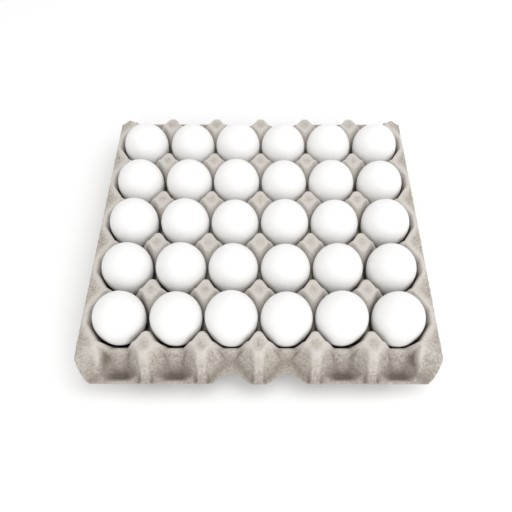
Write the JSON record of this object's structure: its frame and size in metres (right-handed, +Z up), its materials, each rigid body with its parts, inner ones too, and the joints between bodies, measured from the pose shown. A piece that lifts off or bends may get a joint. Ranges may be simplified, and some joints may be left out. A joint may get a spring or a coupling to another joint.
{
  "type": "egg tray filled with eggs",
  "caption": "Square moulded-pulp egg tray with diamond-topped posts, side flanges and skirts with arched finger notches, with a white hen's egg standing in every cell.",
  "frame": {"origin": "middle of the underside, on the plane that the pockets' floors stand on", "axes": "+X along the rows of six cells, -Y towards the front skirt, +Z up out of the pockets"},
  "size_m": [0.305, 0.3056, 0.0643],
  "materials": {
    "moulded_pulp": "matte, fibrous, warm grey recycled pulp",
    "egg_shell": "matte white shell with a faint sheen and fine pores"
  },
  "bodies": {
    "root": {"tray": "moulded_pulp", "egg_1_1": "egg_shell", "egg_1_2": "egg_shell", "egg_1_3": "egg_shell", "egg_1_4": "egg_shell", "egg_1_5": "egg_shell", "egg_1_6": "egg_shell", "egg_2_1": "egg_shell", "egg_2_2": "egg_shell", "egg_2_3": "egg_shell", "egg_2_4": "egg_shell", "egg_2_5": "egg_shell", "egg_2_6": "egg_shell", "egg_3_1": "egg_shell", "egg_3_2": "egg_shell", "egg_3_3": "egg_shell", "egg_3_4": "egg_shell", "egg_3_5": "egg_shell", "egg_3_6": "egg_shell", "egg_4_1": "egg_shell", "egg_4_2": "egg_shell", "egg_4_3": "egg_shell", "egg_4_4": "egg_shell", "egg_4_5": "egg_shell", "egg_4_6": "egg_shell", "egg_5_1": "egg_shell", "egg_5_2": "egg_shell", "egg_5_3": "egg_shell", "egg_5_4": "egg_shell", "egg_5_5": "egg_shell", "egg_5_6": "egg_shell"}
  },
  "joints": []
}
